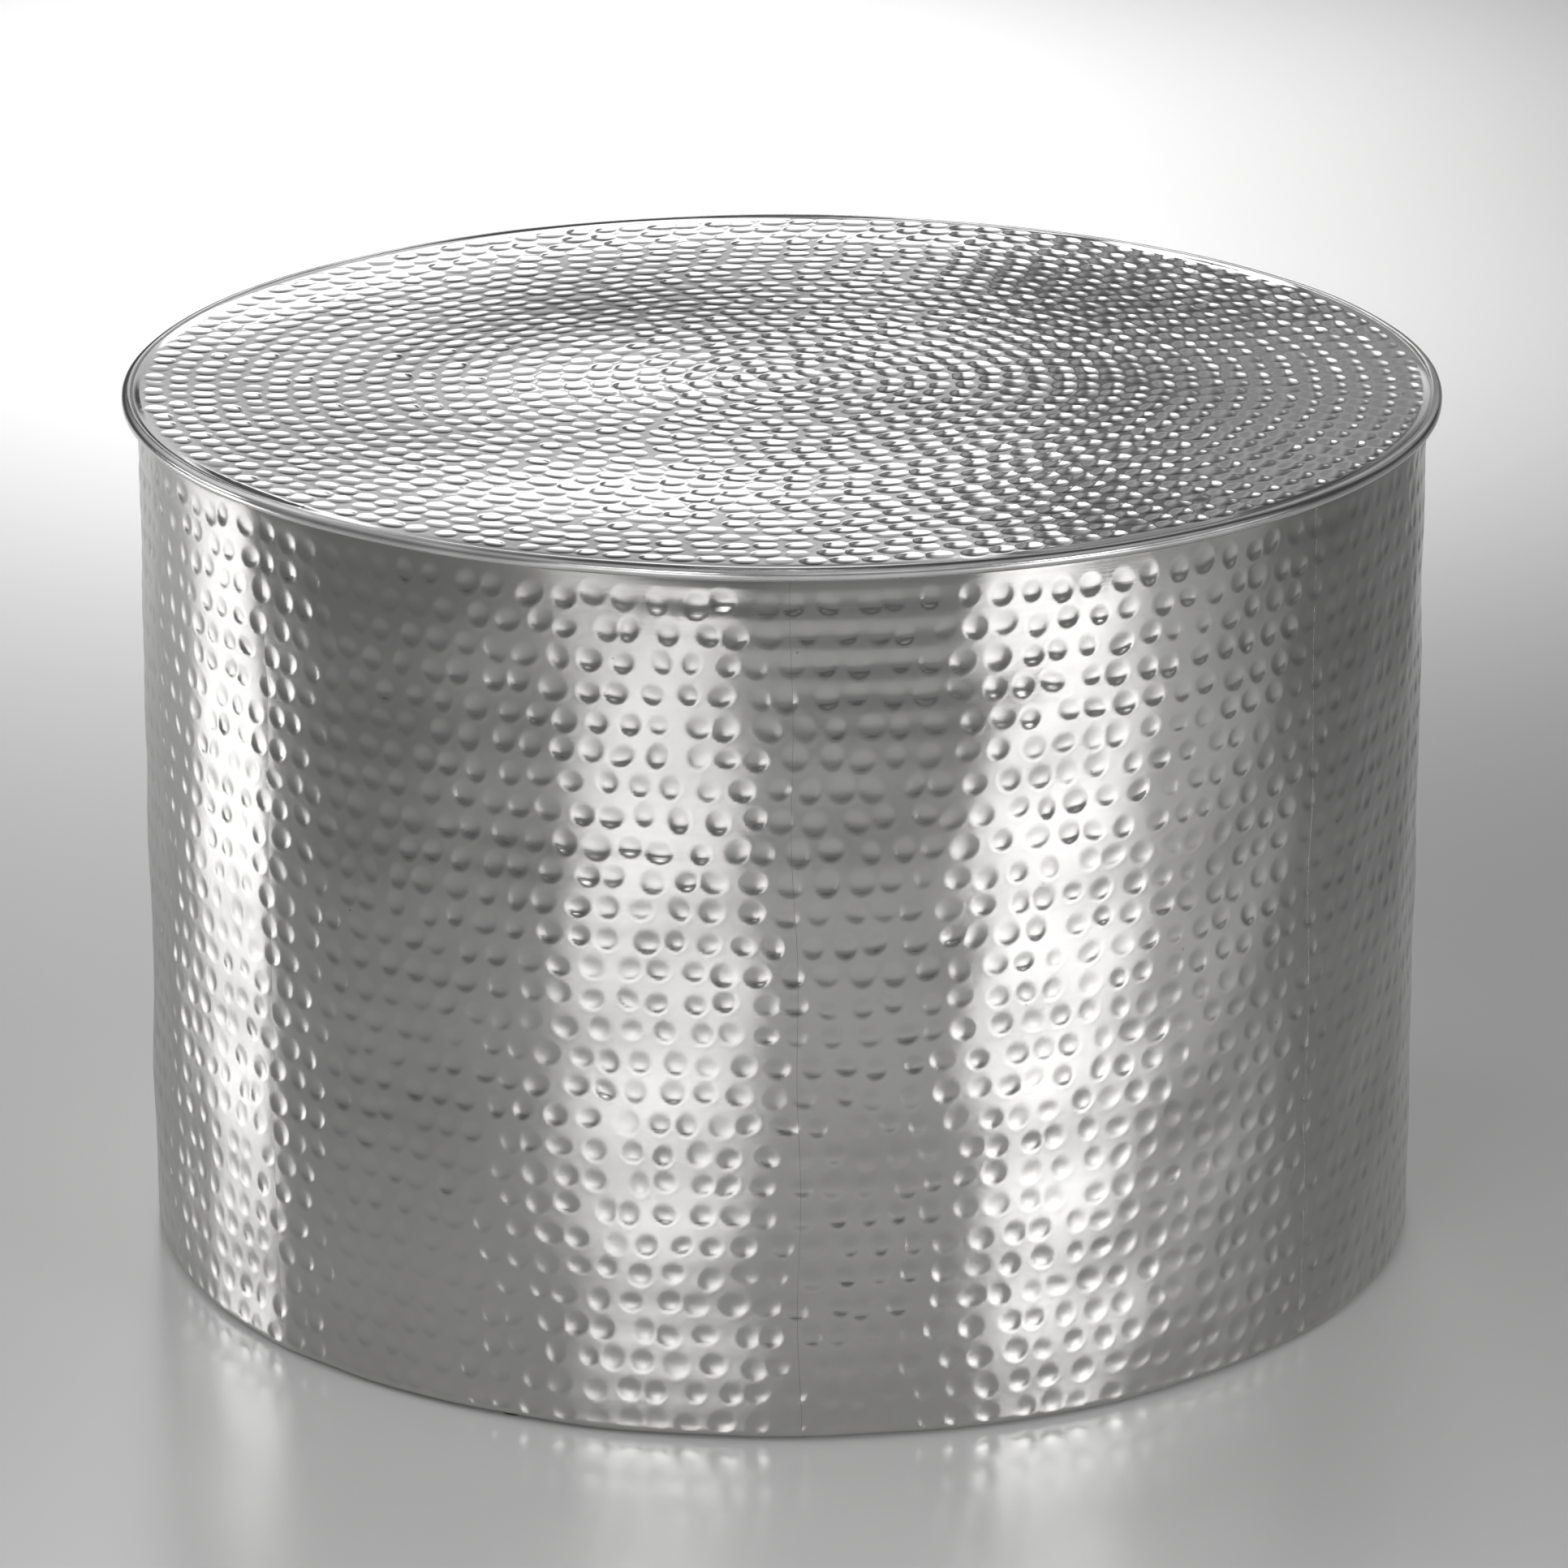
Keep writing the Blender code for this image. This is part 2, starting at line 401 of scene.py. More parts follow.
@dataclass
class WallDents(HammerMarks):
    """Rows of dents round an upright drum: along is the arc, across is the height.

    Attributes:
        radius: of the wall that the arcs lie on.
    """

    radius: float = 0.3

    def offsets(self, turn: Array, row: Array, index: Array, count: Array) -> tuple[Array, Array]:
        """Arc and height from the marks.

        Args:
            turn: place of each point round the axis, as a share of a turn.
            row: its place across the rows, in metres.
            index: number of a mark near it.
            count: number of marks in that mark's row.

        Returns:
            The distances along the row and across it.
        """
        gap = turn - self.marks["place"][index] / count
        along = (gap - np.rint(gap)) * FULL_TURN * self.radius - self.marks["stray"][index]
        return along, row - self.marks["row"][index]


@dataclass
class RingDimples(HammerMarks):
    """Rings of dimples on a disc: along is square to the radius, across is along it."""

    def offsets(self, turn: Array, row: Array, index: Array, count: Array) -> tuple[Array, Array]:
        """Distances in the disc's plane, turned to each mark's own radius.

        Args:
            turn: place of each point round the axis, as a share of a turn.
            row: its place across the rows, in metres.
            index: number of a mark near it.
            count: number of marks in that mark's row.

        Returns:
            The distances along the row and across it.
        """
        angle = (turn - self.marks["place"][index] / count) * FULL_TURN
        along = row * np.sin(angle) - self.marks["stray"][index]
        return along, row * np.cos(angle) - self.marks["row"][index]


# Meshes from arrays


@dataclass(frozen=True)
class MeshArrays:
    """A mesh as arrays.

    Attributes:
        points: vertices as (count, 3).
        flat: place on the flat sheet of each corner of the quads and then of the triangles.
        quads: four-sided faces as vertex numbers.
        triangles: three-sided faces.
        normals: which way the surface looks at each vertex, where it isn't left to the faces.
    """

    points: Array
    flat: Array
    quads: Array
    triangles: Array
    normals: Array | None = None


def grid_quads(index: Array) -> Array:
    """Faces of a grid of vertex numbers, facing along columns crossed with rows."""
    corners = (index[:-1, :-1], index[:-1, 1:], index[1:, 1:], index[1:, :-1])
    return np.stack(corners, axis=-1).reshape(-1, 4)


def grid_normals(points: Array) -> Array:
    """Unit normals of a grid: its step along columns crossed with its step along rows."""
    normal = np.cross(np.gradient(points, axis=1), np.gradient(points, axis=0))
    return normal / np.linalg.norm(normal, axis=-1, keepdims=True)


def border(index: Array) -> Array:
    """Vertex numbers round a grid's border, once round."""
    sides = (index[0, :-1], index[:-1, -1], index[-1, :0:-1], index[:0:-1, 0])
    return np.concatenate(sides)


def closed_sheet(
    points: Array,
    back_points: Array,
    flat: Array,
    normals: Array,
    coarse: int,
) -> MeshArrays:
    """Closes a sheet behind its outer face.

    The back keeps every coarse-th point of its grid, and fans of triangles join the two borders.

    Args:
        points: the face as (rows, columns, 3).
        back_points: the face behind it, point for point.
        flat: its place on the flat sheet as (rows, columns, 2).
        normals: which way the face looks, as (rows, columns, 3).
        coarse: how many steps of the face make one of the back; even.

    Returns:
        One closed mesh.
    """
    back_points = back_points[::coarse, ::coarse]
    count = points.shape[0] * points.shape[1]
    front = np.arange(count).reshape(points.shape[:2])
    back = count + np.arange(back_points.shape[0] * back_points.shape[1])
    back = back.reshape(back_points.shape[:2])
    fine = border(front).reshape(-1, coarse)
    following = np.roll(border(front), -1).reshape(-1, coarse)
    near = border(back)
    far = np.roll(near, -1)
    half = coarse // 2
    layout = np.concatenate([flat.reshape(-1, 2), flat[::coarse, ::coarse].reshape(-1, 2)])
    fans = [
        np.stack([following[:, step], fine[:, step], near if step < half else far], axis=-1)
        for step in range(coarse)
    ]
    fans.append(np.stack([fine[:, half], near, far], axis=-1))
    quads = np.concatenate([grid_quads(front), grid_quads(back)[:, ::-1]])
    triangles = np.concatenate(fans)
    return MeshArrays(
        points=np.concatenate([points.reshape(-1, 3), back_points.reshape(-1, 3)]),
        flat=layout[np.concatenate([quads.ravel(), triangles.ravel()])],
        quads=quads,
        triangles=triangles,
        normals=np.concatenate([normals.reshape(-1, 3), -normals[::coarse, ::coarse].reshape(-1, 3)]),
    )


def closed_ring(points: Array, flat: Array) -> MeshArrays:
    """A tube-like ring from a grid whose rows go round a section and whose columns go round the axis.

    Args:
        points: the surface as (section, turn, 3); both directions close on themselves.
        flat: its place on the flat sheet as (section + 1, turn + 1, 2), where each closes.

    Returns:
        One closed mesh.
    """
    index = np.arange(points.shape[0] * points.shape[1]).reshape(points.shape[:2])
    index = np.pad(index, ((0, 1), (0, 1)), mode="wrap")
    corner = np.arange(index.size).reshape(index.shape)
    return MeshArrays(
        points=points.reshape(-1, 3),
        flat=flat.reshape(-1, 2)[grid_quads(corner).ravel()],
        quads=grid_quads(index),
        triangles=np.empty((0, 3), int),
    )


def add_mesh(name: str, arrays: MeshArrays) -> bpy.types.Object:
    """Puts arrays into a smooth-shaded mesh object at the origin.

    Args:
        name: of the object and its mesh.
        arrays: the mesh.

    Returns:
        The linked object.
    """
    mesh = bpy.data.meshes.new(name)
    corners = np.concatenate([arrays.quads.ravel(), arrays.triangles.ravel()]).astype(np.int32)
    sizes = np.repeat([4, 3], [len(arrays.quads), len(arrays.triangles)])
    starts = np.concatenate([[0], np.cumsum(sizes)[:-1]]).astype(np.int32)
    mesh.vertices.add(len(arrays.points))
    mesh.vertices.foreach_set("co", arrays.points.astype(np.float32).ravel())
    mesh.loops.add(len(corners))
    mesh.loops.foreach_set("vertex_index", corners)
    mesh.polygons.add(len(sizes))
    mesh.polygons.foreach_set("loop_start", starts)
    mesh.update(calc_edges=True)
    layer = mesh.uv_layers.new(name=SHEET_MAP)
    layer.uv.foreach_set("vector", arrays.flat.astype(np.float32).ravel())
    mesh.validate()
    mesh.shade_smooth()
    mesh.set_sharp_from_angle(angle=SHARP_EDGE)
    if arrays.normals is not None:
        mesh.normals_split_custom_set_from_vertices(arrays.normals.astype(np.float32))
    thing = bpy.data.objects.new(name, mesh)
    bpy.context.scene.collection.objects.link(thing)
    return thing


def dress_piece(
    thing: bpy.types.Object,
    finish: "Finish",
    body: Body,
    replaced: Sequence[str],
) -> bpy.types.Object:
    """Gives a new piece its finish, its body and the nodes that it stands for.

    Args:
        thing: the piece.
        finish: its finish.
        body: the body that it moves with.
        replaced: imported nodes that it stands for.

    Returns:
        The piece.
    """
    thing.data.materials.append(finish.material())
    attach(thing, body.value)
    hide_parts(*replaced)
    LOG.info("%s: %d faces, for %s", thing.name, len(thing.data.polygons), ", ".join(replaced))
    return thing


# Shader nodes


class NodeSketch:
    """Adds and links the nodes of one tree."""

    def __init__(self, tree: bpy.types.NodeTree) -> None:
        """Keeps the tree."""
        self.tree = tree

    def node(self, kind: str, inputs: dict[Any, Any] | None = None, **settings: Any) -> bpy.types.Node:
        """Adds a node.

        Args:
            kind: the node's type name.
            inputs: socket name or number to a value, or to an output socket that is linked to it.
            settings: the node's own properties.

        Returns:
            The new node.
        """
        made = self.tree.nodes.new(kind)
        for key, value in settings.items():
            setattr(made, key, value)
        for key, value in (inputs or {}).items():
            if isinstance(value, bpy.types.NodeSocket):
                self.tree.links.new(value, made.inputs[key])
            else:
                made.inputs[key].default_value = value
        return made

    def math(self, operation: str, *values: Any) -> bpy.types.NodeSocket:
        """A Math node's result."""
        made = self.node("ShaderNodeMath", dict(enumerate(values)), operation=operation)
        return made.outputs[0]

    def ease(self, value: Any, low: float, high: float, start: Any = 0.0, end: Any = 1.0) -> Any:
        """A smooth step of a value.

        Args:
            value: socket of the value.
            low: the value where the step starts.
            high: the value where it ends.
            start: what it gives at low.
            end: what it gives at high.

        Returns:
            The socket of the step.
        """
        inputs = {"Value": value, "From Min": low, "From Max": high, "To Min": start, "To Max": end}
        made = self.node("ShaderNodeMapRange", inputs, interpolation_type="SMOOTHSTEP")
        return made.outputs["Result"]

    def mix(self, share: Any, first: Colour, second: Colour) -> bpy.types.NodeSocket:
        """A colour between two plain colours.

        Args:
            share: of the second colour.
            first: colour at 0.
            second: colour at 1.

        Returns:
            The socket of the colour.
        """
        made = self.node("ShaderNodeMix", {"Factor": share}, data_type="RGBA")
        for number, colour in zip(MIX_COLOURS, (first, second)):
            made.inputs[number].default_value = (*colour, 1.0)
        return made.outputs[MIX_RESULT]


class Effect(str, Enum):
    """Effects that several finishes share, each one node group."""

    BRUSH_LINES = "brush_lines"
    HANDLING_MARKS = "handling_marks"
    FINE_PITS = "fine_pits"


class EffectLibrary:
    """Builds each shared effect once, as a node group that puts out a mask."""

    @classmethod
    def get(cls, effect: Effect) -> bpy.types.NodeTree:
        """An effect's group, made on first use.

        Args:
            effect: which effect.

        Returns:
            The node group.
        """
        makers = {
            Effect.BRUSH_LINES: cls._make_brush_lines,
            Effect.HANDLING_MARKS: cls._make_handling_marks,
            Effect.FINE_PITS: cls._make_fine_pits,
        }
        return bpy.data.node_groups.get(effect.value) or makers[effect]()

    @staticmethod
    def _new_group(effect: Effect, inputs: dict[str, str]) -> tuple[NodeSketch, Any, Any]:
        """An empty group.

        Args:
            effect: names the group.
            inputs: socket names to socket types.

        Returns:
            The sketch, the group's input node and its output node.
        """
        tree = bpy.data.node_groups.new(effect.value, "ShaderNodeTree")
        for name, kind in inputs.items():
            tree.interface.new_socket(name, in_out="INPUT", socket_type=kind)
        tree.interface.new_socket("Mask", in_out="OUTPUT", socket_type="NodeSocketFloat")
        sketch = NodeSketch(tree)
        return sketch, sketch.node("NodeGroupInput"), sketch.node("NodeGroupOutput")

    @classmethod
    def _make_brush_lines(cls) -> bpy.types.NodeTree:
        """Fine lines: noise drawn out along the axes that Stretch scales least.

        Returns:
            The node group.
        """
        inputs = {"Vector": "NodeSocketVector", "Stretch": "NodeSocketVector"}
        sketch, given, result = cls._new_group(Effect.BRUSH_LINES, inputs)
        drawn = sketch.node(
            "ShaderNodeVectorMath",
            {0: given.outputs["Vector"], 1: given.outputs["Stretch"]},
            operation="MULTIPLY",
        )
        noise = {"Vector": drawn.outputs[0], "Scale": 1.0, "Detail": 3.0, "Roughness": 0.65}
        lines = sketch.node("ShaderNodeTexNoise", noise).outputs["Fac"]
        sketch.tree.links.new(sketch.ease(lines, *LINE_EDGES), result.inputs["Mask"])
        return sketch.tree

    @classmethod
    def _make_handling_marks(cls) -> bpy.types.NodeTree:
        """Soft patches left by wiping and handling: broad noise with its middle lifted.

        Returns:
            The node group.
        """
        inputs = {"Vector": "NodeSocketVector", "Scale": "NodeSocketFloat"}
        sketch, given, result = cls._new_group(Effect.HANDLING_MARKS, inputs)
        noise = {
            "Vector": given.outputs["Vector"],
            "Scale": given.outputs["Scale"],
            "Detail": 4.0,
            "Roughness": 0.55,
            "Distortion": 0.4,
        }
        patches = sketch.node("ShaderNodeTexNoise", noise).outputs["Fac"]
        sketch.tree.links.new(sketch.ease(patches, *MARK_EDGES), result.inputs["Mask"])
        return sketch.tree

    @classmethod
    def _make_fine_pits(cls) -> bpy.types.NodeTree:
        """Scattered specks: the middles of a few of the cells of a Voronoi pattern.

        Returns:
            The node group.
        """
        inputs = {
            "Vector": "NodeSocketVector",
            "Scale": "NodeSocketFloat",
            "Share": "NodeSocketFloat",
        }
        sketch, given, result = cls._new_group(Effect.FINE_PITS, inputs)
        cells = sketch.node(
            "ShaderNodeTexVoronoi",
            {"Vector": given.outputs["Vector"], "Scale": given.outputs["Scale"]},
        )
        speck = sketch.ease(cells.outputs["Distance"], *PIT_EDGES)
        draw = sketch.node("ShaderNodeSeparateColor", {0: cells.outputs["Color"]}).outputs[0]
        chosen = sketch.math("LESS_THAN", draw, given.outputs["Share"])
        mask = sketch.math("MULTIPLY", speck, chosen)
        sketch.tree.links.new(mask, result.inputs["Mask"])
        return sketch.tree


@dataclass(frozen=True)
class Finish:
    """A metal or rubber finish with brush lines, handling marks and pits.

    Attributes:
        name: of the material.
        colour: of the clean surface.
        roughness: of the clean surface.
        metallic: 1 for metal, 0 for rubber.
        coordinates: what the pattern follows.
        stretch: how often the brush lines repeat in a metre along each axis.
        brushing: roughness that the brush lines add.
        line_height: height of the brush lines.
        marks_scale: how often the handling marks repeat in a metre.
        smudge: roughness that the handling marks add.
        dulling: share of the stain colour that the marks bring.
        stain: colour of marks and pits.
        pits: share of the cells that hold a pit.
        pit_scale: how many cells there are in a metre.
        haze: roughness that a dull patch adds, and its inner and outer radius.
        haze_place: middle of the dull patch.
    """

    name: str
    colour: Colour
    roughness: float
    metallic: float = 1.0
    coordinates: Coordinates = Coordinates.OBJECT
    stretch: tuple[float, float, float] = (40.0, 40.0, 40.0)
    brushing: float = 0.05
    line_height: float = 0.00002
    marks_scale: float = 9.0
    smudge: float = 0.05
    dulling: float = 0.15
    stain: Colour = (0.3, 0.29, 0.28)
    pits: float = 0.02
    pit_scale: float = 260.0
    haze: tuple[float, float, float] = (0.0, 0.0, 0.0)
    haze_place: tuple[float, float, float] = (0.0, 0.0, 0.0)

    def material(self) -> bpy.types.Material:
        """The finish's material, made on first use.

        Returns:
            The material.
        """
        known = bpy.data.materials.get(self.name)
        if known:
            return known
        made = bpy.data.materials.new(self.name)
        made.use_nodes = True
        sketch = NodeSketch(made.node_tree)
        shader = made.node_tree.nodes["Principled BSDF"]
        shader.inputs["Metallic"].default_value = self.metallic
        place = sketch.node("ShaderNodeTexCoord").outputs[self.coordinates.value]
        lines = self._effect(sketch, Effect.BRUSH_LINES, {"Vector": place, "Stretch": self.stretch})
        wiped = {"Vector": place, "Scale": self.marks_scale}
        marks = self._effect(sketch, Effect.HANDLING_MARKS, wiped)
        specks = {"Vector": place, "Scale": self.pit_scale, "Share": self.pits}
        pits = self._effect(sketch, Effect.FINE_PITS, specks)
        stained = sketch.math("MAXIMUM", sketch.math("MULTIPLY", marks, self.dulling), pits)
        colour = sketch.mix(stained, self.colour, self.stain)
        sketch.tree.links.new(colour, shader.inputs["Base Color"])
        brushed = sketch.math("MULTIPLY_ADD", lines, self.brushing, self.roughness)
        rough = sketch.math("MULTIPLY_ADD", marks, self.smudge, brushed)
        added, inner, outer = self.haze
        if added:
            spot = {0: place, 1: self.haze_place}
            away = sketch.node("ShaderNodeVectorMath", spot, operation="DISTANCE").outputs["Value"]
            rough = sketch.math("ADD", rough, sketch.ease(away, inner, outer, added, 0.0))
        sketch.tree.links.new(rough, shader.inputs["Roughness"])
        relief = {"Strength": 1.0, "Distance": self.line_height, "Height": lines}
        bump = sketch.node("ShaderNodeBump", relief)
        sketch.tree.links.new(bump.outputs["Normal"], shader.inputs["Normal"])
        return made

    @staticmethod
    def _effect(sketch: NodeSketch, effect: Effect, inputs: dict[str, Any]) -> bpy.types.NodeSocket:
        """Places a shared effect and gives its mask."""
        group = sketch.node("ShaderNodeGroup", inputs, node_tree=EffectLibrary.get(effect))
        return group.outputs["Mask"]


POLISHED = Finish(
    name="polished_hammered_metal",
    colour=(0.86, 0.86, 0.86),
    roughness=0.02,
    stretch=(30.0, 260.0, 30.0),
    brushing=0.015,
    line_height=0.000002,
    smudge=0.03,
    dulling=0.10,
    pits=0.004,
    haze=(0.10, 0.03, 0.17),
    haze_place=(0.26, 0.0, 0.41),
)
RIM_POLISH = Finish(
    name="drawn_rim_metal",
    colour=(0.82, 0.82, 0.82),
    roughness=0.07,
    coordinates=Coordinates.SHEET,
    stretch=(14.0, 1500.0, 1.0),
    brushing=0.08,
    marks_scale=22.0,
    smudge=0.08,
    dulling=0.25,
    pits=0.004,
)
SATIN = Finish(
    name="satin_hammered_metal",
    colour=(0.495, 0.49, 0.485),
    roughness=0.13,
    coordinates=Coordinates.SHEET,
    stretch=(10.0, 900.0, 1.0),
    brushing=0.04,
    line_height=0.000005,
    marks_scale=11.0,
    smudge=0.05,
    dulling=0.10,
    pits=0.003,
)
MILL = Finish(
    name="mill_sheet_metal",
    colour=(0.60, 0.60, 0.60),
    roughness=0.38,
    stretch=(500.0, 6.0, 6.0),
    brushing=0.14,
    smudge=0.10,
    dulling=0.25,
)
BAR = Finish(
    name="rolled_bar_steel",
    colour=(0.36, 0.36, 0.37),
    roughness=0.42,
    stretch=(12.0, 12.0, 420.0),
    brushing=0.16,
    marks_scale=26.0,
    smudge=0.14,
    dulling=0.45,
    stain=(0.16, 0.14, 0.13),
    pits=0.05,
)
WIRE = Finish(
    name="drawn_wire_steel",
    colour=(0.50, 0.50, 0.50),
    roughness=0.34,
    stretch=(30.0, 30.0, 900.0),
)
RUBBER = Finish(
    name="moulded_glide_rubber",
    colour=(0.028, 0.028, 0.028),
    roughness=0.68,
    metallic=0.0,
    stretch=(700.0, 700.0, 700.0),
    brushing=0.14,
    line_height=0.00003,
    marks_scale=60.0,
    dulling=0.5,
    stain=(0.06, 0.058, 0.055),
)


# Sub-assemblies


@dataclass
class DrumWall:
    """The dented wall panels, with their edges turned in at the mouth and the base.

    Attributes:
        radius: outside of the wall.
        inner: where the turned-in edges end.
        bottom: underside of the lower turned-in edge.
        top: upper side of the upper turned-in edge.
        panels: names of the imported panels, in order round the drum.
        sheet: thickness.
        bend: radius of the turned edges.
        columns: steps round one panel.
        rows: steps along the panel's section.
        dent_rows: rows of dents.
        dents_per_row: dents of a row, all round the drum.
        first_dent: height of the lowest row.
        last_dent: height of the highest row.
        seam_seed: of the seams' wandering.
        seam_lean: the most that a seam leans from foot to mouth.
        seam_wave: the most that each of its two waves strays to a side.
        seam_turns: angle that each wave runs through on the way up, in radians.
        seam_start: the largest angle at which a wave starts, in radians.
        seam_roll: how far the sheet rolls in at a seam.
        seam_gap: open width of a seam.
        roll_width: width of the strip that rolls in.
        edge_fade: how far from a turned-in edge's end the relief starts, and how far from the wall's
            face it is full.
        back_steps: steps of the outer face that make one of the inner face.
        bulge: slow unevenness of the wall.
        groove: depth of the grooves where a row's dents run together.
        groove_heights: heights between which the grooves deepen.
        groove_low: share of their depth that they have below that.
        groove_edges: values of the patches at which a groove starts and is full.
        groove_patches: the parts of the wall that have grooves.
        even_side: azimuth of a stretch without grooves, in radians.
        even_reach: how far from there the grooves start and are full, in radians.
        dents: the rows of dents.
        seam_draw: what was drawn for each seam.
    """

    radius: float
    inner: float
    bottom: float
    top: float
    panels: list[str]
    sheet: float = 0.0012
    bend: float = 0.003
    columns: int = 208
    rows: int = 328
    dent_rows: int = 28
    dents_per_row: int = 126
    first_dent: float = 0.0083
    last_dent: float = 0.393
    seam_seed: int = 3
    seam_lean: float = 0.006
    seam_wave: float = 0.0012
    seam_turns: tuple[float, float] = (9.0, 23.0)
    seam_start: float = 6.0
    seam_roll: float = 0.00005
    seam_gap: float = 0.00010
    roll_width: float = 0.003
    edge_fade: tuple[float, float] = (0.008, 0.001)
    back_steps: int = 4
    bulge: Ripple = Ripple(seed=263, amplitude=0.0007, lengths=(0.05, 0.16))
    groove: float = 0.00042
    groove_heights: tuple[float, float] = (0.24, 0.37)
    groove_low: float = 0.2
    groove_edges: tuple[float, float] = (-0.2, 1.0)
    groove_patches: Ripple = Ripple(seed=841, amplitude=1.0, lengths=(0.10, 0.25))
    even_side: float = math.radians(-64.0)
    even_reach: tuple[float, float] = (math.radians(9.0), math.radians(15.0))
    dents: WallDents = field(init=False)
    seam_draw: Array = field(init=False)

    @classmethod
    def from_frame(cls) -> "DrumWall":
        """Reads the wall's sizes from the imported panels.

        Returns:
            The wall.
        """
        names = sorted(name for name in frame["nodes"] if name.startswith("wall_panel_"))
        points = node_points(names[0])
        reach = radii(points)
        return cls(
            radius=float(reach.max()),
            inner=float(reach.min()),
            bottom=float(points[:, 2].min()),
            top=float(points[:, 2].max()),
            panels=names,
        )

    def __post_init__(self) -> None:
        """Lays out the dents and the way the seams wander."""
        pitch = (self.last_dent - self.first_dent) / (self.dent_rows - 1)
        self.dents = WallDents(
            first=self.first_dent,
            pitch=pitch,
            counts=np.full(self.dent_rows, self.dents_per_row),
            half_along=0.0054,
            half_across=0.0053,
            depth=0.00041,
            wander=(0.0016, 0.0008),
            uneven=(0.10, 0.20),
            lean=(0.45, 0.75),
            softness=0.00004,
            lip=0.00005,
            lip_bias=0.9,
            seed=5,
            radius=self.radius,
        )
        draw = np.random.default_rng(self.seam_seed)
        self.seam_draw = draw.uniform(-1.0, 1.0, size=(len(self.panels), SEAM_DRAWS))

    def section(self) -> Array:
        """The panel's outer face from the base's inner edge, out, up and in at the mouth.

        Returns:
            Points as (count, 2), radius and height.
        """
        corners = [
            (self.inner, self.bottom),
            (self.radius, self.bottom),
            (self.radius, self.top),
            (self.inner, self.top),
        ]
        return rounded_path(corners, self.bend, self.rows + 1)

    def seam_shift(self, seam: int, height: Array) -> Array:
        """How far a seam strays round the drum, as an angle: a lean and two slow waves.

        Args:
            seam: number of the seam.
            height: heights along it.

        Returns:
            Angles in radians.
        """
        lean, first, second, phase, other = self.seam_draw[seam % len(self.panels)]
        share = (height - self.bottom) / (self.top - self.bottom)
        slow, quick = self.seam_turns
        waves = first * np.sin(slow * share + self.seam_start * phase)
        waves = waves + second * np.sin(quick * share + self.seam_start * other)
        return (self.seam_lean * lean * (share - 0.5) + self.seam_wave * waves) / self.radius

    def row_groove(self, points: Array) -> Array:
        """Depth of the grooves where a row's dents run together, in patches and most near the mouth.

        A raised cosine of the height, one wave per row and deepest along the row's middle, times soft
        masks.

        Args:
            points: places on the plain wall as (..., 3).

        Returns:
            Depths, in metres.
        """
        level = points[..., 2]
        wave = 0.5 + 0.5 * np.cos(FULL_TURN * (level - self.dents.first) / self.dents.pitch)
        patches = smooth_step(*self.groove_edges, self.groove_patches.height(points))
        away = np.arccos(np.cos(np.arctan2(points[..., 1], points[..., 0]) - self.even_side))
        patches = patches * smooth_step(*self.even_reach, away)
        deepening = (1.0 - self.groove_low) * smooth_step(*self.groove_heights, level)
        return self.groove * wave * patches * (self.groove_low + deepening)

    def seams(self, number: int, height: Array) -> tuple[Array, Array]:
        """Azimuths of a panel's two seams, which meet its neighbours' but for a hairline.

        Args:
            number: place of the panel in the list of panels.
            height: heights along the seams.

        Returns:
            The first seam and the last, each as (count, 1).
        """
        first, last = azimuth_span(node_points(self.panels[number]))
        pitch = FULL_TURN / len(self.panels)
        closing = (pitch - (last - first) - self.seam_gap / self.radius) / 2
        left = first - closing + self.seam_shift(number, height)
        right = last + closing + self.seam_shift(number + 1, height)
        return left[:, None], right[:, None]

    def relief(self, azimuth: Array, level: Array, edge: Array) -> Array:
        """How far the hammered wall stands out from the plain one.

        The slow unevenness, less the dents, the grooves and a roll that dies away from the seam as
        exp(-x squared).

        Args:
            azimuth: round the axis.
            level: height, measured along the sheet.
            edge: distance from the nearest seam.

        Returns:
            Offsets along the surface's normal.
        """
        offset = -self.dents.depth_at(azimuth / FULL_TURN, level)
        plain = around(azimuth, np.full_like(azimuth, self.radius), level)
        offset = offset + self.bulge.height(plain) - self.row_groove(plain)
        return offset - self.seam_roll * np.exp(-((edge / self.roll_width) ** 2))

    def panel(self, number: int) -> bpy.types.Object:
        """One panel: its section carried round from seam to seam and dented along its normal.

        Args:
            number: place of the panel in the list of panels.

        Returns:
            The dressed piece.
        """
        name = self.panels[number]
        section = self.section()
        along = path_length(section)
        tangent = np.gradient(section, along, axis=0)
        normal = np.stack([tangent[:, 1], -tangent[:, 0]], axis=-1)
        left, right = self.seams(number, section[:, 1])
        azimuth = left + (right - left) * np.linspace(0.0, 1.0, self.columns + 1)
        level = along - along[-1] / 2 + (self.bottom + self.top) / 2
        level = np.broadcast_to(level[:, None], azimuth.shape)
        edge = np.minimum(azimuth - left, right - azimuth) * self.radius
        starts, full = self.inner + self.edge_fade[0], self.radius - self.edge_fade[1]
        offset = self.relief(azimuth, level, edge) * smooth_step(starts, full, section[:, :1])
        radius = section[:, :1] + offset * normal[:, :1]
        height = section[:, 1:] + offset * normal[:, 1:]
        points = around(azimuth, radius, height)
        flat = np.stack([azimuth * self.radius, level], axis=-1)
        normals = grid_normals(points)
        arrays = closed_sheet(points, points - self.sheet * normals, flat, normals, self.back_steps)
        piece = add_mesh(f"dented_{name}", arrays)
        return dress_piece(piece, SATIN, Body.DRUM, [name])

    def build(self) -> list[bpy.types.Object]:
        """Every panel of the wall."""
        return [self.panel(number) for number in range(len(self.panels))]


